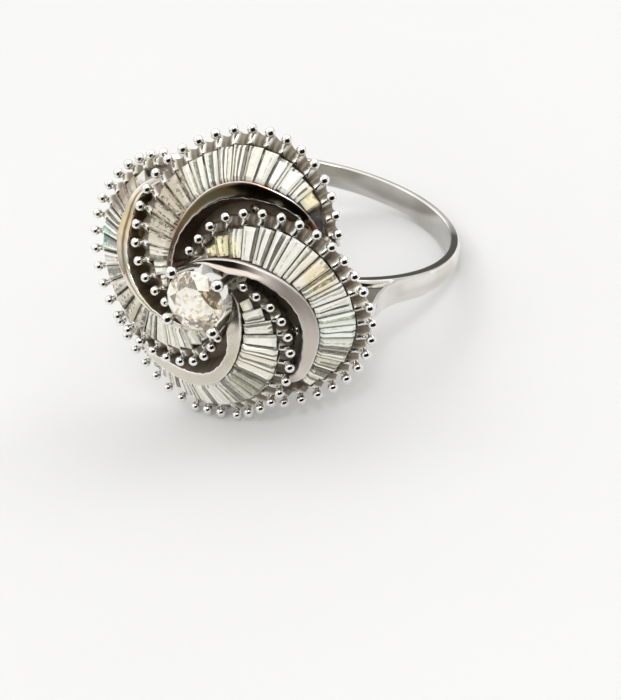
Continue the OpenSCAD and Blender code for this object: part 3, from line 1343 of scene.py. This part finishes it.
@dataclass(frozen=True)
class Baguettes:
    """The fan of tapered step-cut stones in a petal."""

    count: int = 19
    gap: float = 0.06
    seat_gap: float = 0.06
    height: float = 0.85
    table_drop: float = 0.1
    keel_gap: float = 0.08
    # Longest length that the shares of the way in from the ends are taken of
    cut_length: float = 0.9
    # Steps of the cut from table to keel: shares of the way in from the girdle's sides and from its
    # ends, and of the depth below the table
    steps: tuple[tuple[float, float, float], ...] = (
        (0.42, 0.26, 0.0), (0.2, 0.12, 0.1), (0.0, 0.0, 0.2), (0.0, 0.0, 0.27),
        (0.28, 0.12, 0.5), (0.62, 0.24, 0.78), (0.93, 0.34, 1.0),
    )
    # Marks that no two stones share: so much from petal to petal and from stone to stone
    petal_mark: float = 37.0
    stone_mark: float = 0.37

    def stone(self, angle: float, half: float) -> Array:
        """Corners of one stone: for each step of the cut, a tapered four-sided outline.

        Args:
            angle: fan angle of the stone's middle.
            half: half of the angle from ball to ball.

        Returns:
            Points, steps by 4 corners by 3.
        """
        span = np.array([angle - half, angle, angle + half])
        low = PETAL.along(span, Column.RAIL_OUT).max() + self.seat_gap
        high = PETAL.stone_end(span).min()
        columns = (Column.RAIL_OUT_LIFT, Column.BALL_LIFT)
        lifts = np.array([PETAL.along(angle, column) for column in columns]) - self.table_drop
        reach = np.array([low, high])
        inner, outer = PETAL.over(np.array([angle, angle]), reach, lifts)
        depth = min(self.height, lifts.min() - PETAL.seat(angle) - self.keel_gap)
        length = np.linalg.norm(outer - inner)
        forth = unit(outer - inner)
        side = unit(np.cross(inner - on_axis(PETAL.dome_z), forth))
        up = np.cross(forth, side)
        sides_in, ends_in, down = np.array(self.steps).T[..., None]
        ends_in = ends_in * min(self.cut_length, length)
        end, sign = [0, 1, 1, 0], np.array([-1, -1, 1, 1])
        along = np.concatenate([ends_in, length - ends_in], 1)[:, end, None]
        widths = (reach * math.sin(math.radians(half)) - self.gap / 2)[end]
        across = (widths * (1 - sides_in) * sign)[..., None]
        return inner + forth * along + side * across - up * (down * depth)[..., None]

    def build(self, petal: int, crystal: Material) -> Piece:
        """Makes the stones of one petal, whose shift runs from -1 to 1 across each.

        Args:
            petal: the petal.
            crystal: the finish.

        Returns:
            The fan.
        """
        angles = PETAL.ball_angles()
        across = (1 - np.array(self.steps)[:, :1]) * np.array([-1.0, -1.0, 1.0, 1.0])
        skin = Skin()
        for i in range(1, self.count + 1):
            half = (angles[i] - angles[i + 1]) / 2
            corners = PETAL.turned(self.stone(angles[i] - half, half), petal)
            skin.tube(corners, petal * self.petal_mark + i * self.stone_mark, across)
        return skin.make(f"baguette_fan_{petal + 1}", crystal, Slot.BAGUETTE, False)


@dataclass(frozen=True)
class Brilliant:
    """The raised round stone: table, 8 stars, 8 kites, 32 girdle facets and 8 lower mains."""

    diameter: float = 3.5
    girdle_z: float = 15.0
    turn: float = 70.5
    mark: float = 0.31
    # Rings of points from table to culet: count, radius in shares of the stone's, height over the
    # girdle in shares of its diameter, degrees to the first point
    table: tuple[int, float, float, float] = (8, 0.57, 0.15, 0.0)
    stars: tuple[int, float, float, float] = (8, 0.79, 0.1, 22.5)
    girdle_top: tuple[int, float, float, float] = (16, 1.0, 0.0, 0.0)
    girdle_foot: tuple[int, float, float, float] = (16, 1.0, -0.017, 0.0)
    lower_tips: tuple[int, float, float, float] = (8, 0.3, -0.335, 22.5)
    culet: tuple[int, float, float, float] = (1, 0.0, -0.43, 0.0)

    def build(self, crystal: Material) -> Piece:
        """Makes the stone from its rings of points, one eighth of the facets at a time.

        Args:
            crystal: the finish.

        Returns:
            The stone.
        """
        rings = (
            self.table, self.stars, self.girdle_top, self.girdle_foot, self.lower_tips, self.culet,
        )
        size = self.diameter
        points = [circle(n, share * size / 2, z * size, turn) for n, share, z, turn in rings]
        _, star, top, foot, low, culet = np.cumsum([0] + [ring[0] for ring in rings])[:-1].tolist()
        fold = self.table[0]
        faces = [list(range(fold))]
        for k in range(fold):
            after, before = (k + 1) % fold, (k - 1) % fold
            edge = [(2 * k + step) % (2 * fold) for step in range(3)]
            a, b, c = (top + e for e in edge)
            d, e, f = (foot + e for e in edge)
            faces += [
                [k, star + k, after], [k, star + before, a, star + k],
                [star + k, a, b], [star + k, b, c], [d, low + k, e], [e, low + k, f],
                [low + before, culet, low + k, d], [a, d, e, b], [b, e, f, c],
            ]
        skin = Skin()
        placed = spin(np.concatenate(points), self.turn) + on_axis(self.girdle_z)
        skin.solid(placed, faces, self.mark)
        return skin.make("round_brilliant", crystal, Slot.CENTRE, False)


# The table, the light and the camera


@dataclass(frozen=True)
class Patch:
    """A patch of the room: degrees above and right of the camera, inner and outer radius, tint."""

    above: float
    right: float
    inner: float
    outer: float
    tint: Tint


@dataclass(frozen=True)
class Lamp:
    """A soft square lamp that faces the ring."""

    # Degrees on the table from the picture's right towards its top, and degrees above the table
    turn: float
    height: float
    # Metres along its side, watts, whether polished metal mirrors it, and metres from the ring
    side: float
    power: float
    mirrored: bool = False
    distance: float = 0.5


@dataclass(frozen=True)
class Cloth:
    """Dark cloth by the camera, the shape of whoever looks, that only mirrors see."""

    # In metres: distance from the head, half its width, its nearest edge, height over the table
    distance: float = 0.036
    half_width: float = 0.045
    near: float = 0.014
    off_table: float = 0.0004
    # Degrees of its top above the camera, and the height on the head's axis of the place it faces
    above: float = 14.0
    faces_z: float = 13.0
    tint: Tint = (0.012, 0.011, 0.01)


@dataclass(frozen=True)
class Studio:
    """Pale table, soft light from a white tent, and the camera at the photograph's angle."""

    # The tabletop: half its side in metres, its tint, how dark and how fine its mottling is
    table_half: float = 0.9
    table_tint: Tint = (0.69, 0.69, 0.69)
    mottle: float = 0.985
    mottle_scale: float = 60.0
    # How rough it is, and how much it shines
    table_rough: float = 0.8
    table_sheen: float = 0.1
    # Strength of the room's light, its tint, and that of the darker part near the table
    room: float = 1.24
    room_tint: Tint = (0.97, 0.97, 0.95)
    skirting_tint: Tint = (0.3, 0.28, 0.25)
    # Heights on the room's ball of directions between which the skirting becomes the room
    skirting: tuple[float, float] = (0.02, 0.45)
    patches: tuple[Patch, ...] = (
        Patch(0.0, 0.0, 20.0, 75.0, (0.55, 0.54, 0.52)),
        Patch(30.0, -6.0, 5.0, 8.0, (8.0, 8.0, 8.0)),
    )
    lamps: tuple[Lamp, ...] = (
        Lamp(turn=15.0, height=50.0, side=0.2, power=0.28, mirrored=True),
        Lamp(turn=4.0, height=24.0, side=0.16, power=0.2),
        Lamp(turn=140.0, height=48.0, side=0.2, power=0.32),
        Lamp(turn=266.0, height=34.0, side=0.3, power=0.5),
    )
    cloth: Cloth = Cloth()
    # Height on the head's axis that the patches' directions are measured from
    aim_z: float = 12.0
    lens: float = 86.41
    sensor: float = 36.0
    clip: tuple[float, float] = (0.005, 10.0)
    camera_at: Place = (34.74, 40.61, 92.17)
    camera_turn: Place = (0.42706367, -0.37886014, -0.26439758)

    def table(self) -> None:
        """Lays the pale tabletop, with the faintest mottling of matt card."""
        mat, n, shader = new_material("table_card")
        darker = tuple(self.mottle * c for c in self.table_tint)
        noise = n.noise(self.mottle_scale, detail=3.0)
        n.feed(shader, {
            "Base Color": n.mix(noise, (*self.table_tint, 1), (*darker, 1)),
            "Roughness": self.table_rough,
            "Specular IOR Level": self.table_sheen,
        })
        half = self.table_half
        corners = np.array([(-half, -half, 0), (half, -half, 0), (half, half, 0), (-half, half, 0)])
        put_mesh("tabletop", corners, [(0, 1, 2, 3)], mat)

    def axes(self) -> Array:
        """The camera's right, up and back axes as columns, in the table's frame."""
        turn = Vector(self.camera_turn)
        return RESTING.turn() @ np.array(Matrix.Rotation(turn.length, 3, turn.normalized())).T

    def toward(self, above: float, right: float) -> Array:
        """Direction from the ring to a place near the camera.

        Args:
            above: degrees above the camera.
            right: degrees to the right of it.

        Returns:
            A unit vector.
        """
        away = unit(RESTING.lay(np.array(self.camera_at)) - RESTING.lay(on_axis(self.aim_z)))
        right_axis, up_axis = self.axes()[:, 0], self.axes()[:, 1]
        up, across = math.tan(math.radians(above)), math.tan(math.radians(right))
        return unit(away + up * up_axis + across * right_axis)

    def tent_light(self) -> None:
        """A pale room all round, with the dark shape of whoever leans over the table to look.

        A patch's share falls off with the cosine of the angle from its middle.
        """
        world = bpy.data.worlds.new("room")
        world.use_nodes = True
        bpy.context.scene.world = world
        n = Nodes(world.node_tree)
        way = n.place("Generated")
        height = n.add("ShaderNodeSeparateXYZ", {0: way}).outputs["Z"]
        height = n.ramp(height, *self.skirting)
        color = n.mix(height, (*self.skirting_tint, 1), (*self.room_tint, 1))
        for patch in self.patches:
            ends = {0: way, 1: tuple(self.toward(patch.above, patch.right))}
            near = n.add("ShaderNodeVectorMath", ends, operation="DOT_PRODUCT").outputs["Value"]
            edges = (math.cos(math.radians(radius)) for radius in (patch.outer, patch.inner))
            color = n.mix(n.ramp(near, *edges), color, (*patch.tint, 1))
        n.feed(world.node_tree.nodes["Background"], {"Color": color, "Strength": self.room})

    def hang(self, lamp: Lamp) -> None:
        """Hangs a lamp and turns it to the ring.

        Args:
            lamp: the lamp.
        """
        turn, rise = math.radians(lamp.turn), math.radians(lamp.height)
        right = flat(self.axes()[:, 0])
        level = right * math.cos(turn) + np.cross(on_axis(1.0), right) * math.sin(turn)
        away = Vector(level * math.cos(rise) + on_axis(math.sin(rise)))
        light = bpy.data.lights.new("lamp", "AREA")
        light.energy, light.size = lamp.power, lamp.side
        made = bpy.data.objects.new("lamp", light)
        made.visible_glossy = lamp.mirrored
        made.location = away * lamp.distance
        made.rotation_euler = away.to_track_quat("Z", "Y").to_euler()
        bpy.context.scene.collection.objects.link(made)

    def drape(self) -> None:
        """Hangs the dark cloth: two quads, on the table towards the camera and then up."""
        cloth = self.cloth
        head = RESTING.lay(on_axis(cloth.faces_z))
        ground, top = flat(self.toward(0.0, 0.0)), self.toward(cloth.above, 0.0)
        side = np.cross(on_axis(1.0), ground) * cloth.half_width
        foot = np.array([head[0], head[1], cloth.off_table])
        high = head + top * cloth.distance / float(top @ ground)
        rows = np.array([foot + ground * cloth.near, foot + ground * cloth.distance, high])
        mat, n, shader = new_material("dark_cloth")
        n.feed(shader, {"Base Color": (*cloth.tint, 1), "Specular IOR Level": 0.0})
        corners = np.concatenate([rows - side, rows + side])
        made = put_mesh("dark_cloth", corners, [(0, 1, 4, 3), (1, 2, 5, 4)], mat)
        for ray in ("camera", "shadow", "diffuse", "transmission"):
            setattr(made, f"visible_{ray}", False)

    def camera(self) -> None:
        """Sets the camera: the ring's axes, turned about camera_turn by that vector's length."""
        matrix = np.eye(4)
        matrix[:3, :3] = self.axes()
        matrix[:3, 3] = RESTING.lay(np.array(self.camera_at))
        lens = bpy.data.cameras.new("camera")
        lens.sensor_width, lens.lens = self.sensor, self.lens
        lens.clip_start, lens.clip_end = self.clip
        made = bpy.data.objects.new("camera", lens)
        made.matrix_world = Matrix(matrix.tolist())
        bpy.context.scene.collection.objects.link(made)
        bpy.context.scene.camera = made

    def build(self) -> None:
        """Sets up everything round the ring."""
        self.table()
        self.tent_light()
        for lamp in self.lamps:
            self.hang(lamp)
        self.drape()
        self.camera()
        bpy.context.scene.view_settings.view_transform = "Standard"


BALL_METAL = MetalFinish("white_metal", (0.9, 0.885, 0.84), drift_share=0.2)
# Near-black shade tint: painted dark reflection on the band, painted shade in the shoulders'
# hollows
SHANK_METAL = MetalFinish("shank_metal", (0.84, 0.83, 0.81), (0.07, 0.07, 0.06), drift_size=260.0)
BASKET_METAL = MetalFinish(
    "basket_metal", (0.76, 0.73, 0.66), (0.3, 0.255, 0.2), gloss=0.22, hairlines=0.3, bump=0.15
)
# Each rail's tints are partly painted reflection: the first near black with red-brown drifts, the
# second with a near-black shade tint for its painted dark band, the others beige and gold
RAIL_METALS = (
    MetalFinish(
        "rail_metal_1", (0.1, 0.088, 0.045), (0.26, 0.22, 0.17), drift=(1.0, 0.5, 0.38),
        drift_size=420.0, drift_share=0.95, gloss=0.14,
    ),
    MetalFinish(
        "rail_metal_2", (0.95, 0.87, 0.8), (0.04, 0.033, 0.028), drift=(0.84, 0.77, 0.73),
        drift_size=300.0, gloss=0.6,
    ),
    MetalFinish(
        "rail_metal_3", (0.74, 0.7, 0.6), (0.36, 0.31, 0.25), drift=(0.8, 0.76, 0.68),
        drift_size=300.0, gloss=0.25,
    ),
    MetalFinish(
        "rail_metal_4", (0.86, 0.81, 0.7), (0.22, 0.18, 0.13), drift=(0.85, 0.7, 0.46),
        drift_size=300.0, drift_share=0.8,
    ),
)
# The round stone's painted light: a tone for each facet and broken cells, with no stripes
CENTRE_CRYSTAL = StoneFinish(
    "centre_crystal", (1.0, 0.99, 0.93), (0.98, 0.84, 0.55), (0.75, 0.62, 0.42), (0.1, 0.075, 0.05),
    warm_share=1.0, cells=5500.0, stripe_weight=0.0, cell_weight=0.3, index=2.3,
)
# Painted reflections on the fans: cream at the second fan's start and the first one's end, a warm
# and a cold stretch of the second fan, teal and brown at the left edge, and the greyer, more
# broken painted sparkle of the far ends
FAN_CRYSTAL = StoneFinish("baguette_crystal", spots=(
    Spot((0.4, 2.8, 13.9), 1.5, (1.0, 0.93, 0.66), 0.2),
    Spot((4.9, 6.6, 11.2), 1.3, (1.0, 0.92, 0.68), 0.2),
    Spot((6.0, 2.6, 12.4), 1.2, (1.0, 0.9, 0.72), 0.1),
    Spot((7.9, -0.7, 11.5), 2.4, (0.93, 0.98, 1.0), 0.0),
    Spot((-7.9, 0.1, 11.4), 0.9, (0.55, 0.9, 0.84), 0.1),
    Spot((-7.8, 3.5, 10.9), 2.2, (0.36, 0.28, 0.22), 0.2),
    Spot((-3.9, 3.9, 12.9), 3.0, (0.56, 0.5, 0.43), 0.34),
    Spot((-5.6, -4.2, 12.1), 3.4, (0.66, 0.62, 0.55), 0.34),
))


def main() -> None:
    """Builds the ring in order: shank, gallery, petals, centre setting, then the studio."""
    logging.basicConfig(level=logging.INFO, format="%(name)s %(message)s")
    polish_and_light, crystal = PolishAndPaintedLight().group(), CrystalLight().group()
    balls, shank, inner = (m.make(polish_and_light) for m in (BALL_METAL, SHANK_METAL, BASKET_METAL))
    baguette, centre = FAN_CRYSTAL.make(crystal), CENTRE_CRYSTAL.make(crystal)

    metal = Shank().build(shank) + Undergallery().build(inner)
    for petal in range(PETAL.count):
        metal.append(Rail().build(petal, RAIL_METALS[petal].make(polish_and_light)))
        metal.append(Basket().build(petal, inner))
        metal.append(BallProngs().build(petal, balls))
        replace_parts(Baguettes().build(petal, baguette), f"baguettes_{petal + 1}")
    setting = CentreSetting()
    metal += setting.build(balls)
    for piece in metal:
        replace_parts(piece, "ring_metal")
    half_prong = 90.0 / setting.prongs
    brilliant = Brilliant(girdle_z=setting.girdle_z, turn=setting.prong_turn + half_prong)
    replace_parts(brilliant.build(centre), "centre_stone")
    Studio().build()


if __name__ == "__main__":
    main()
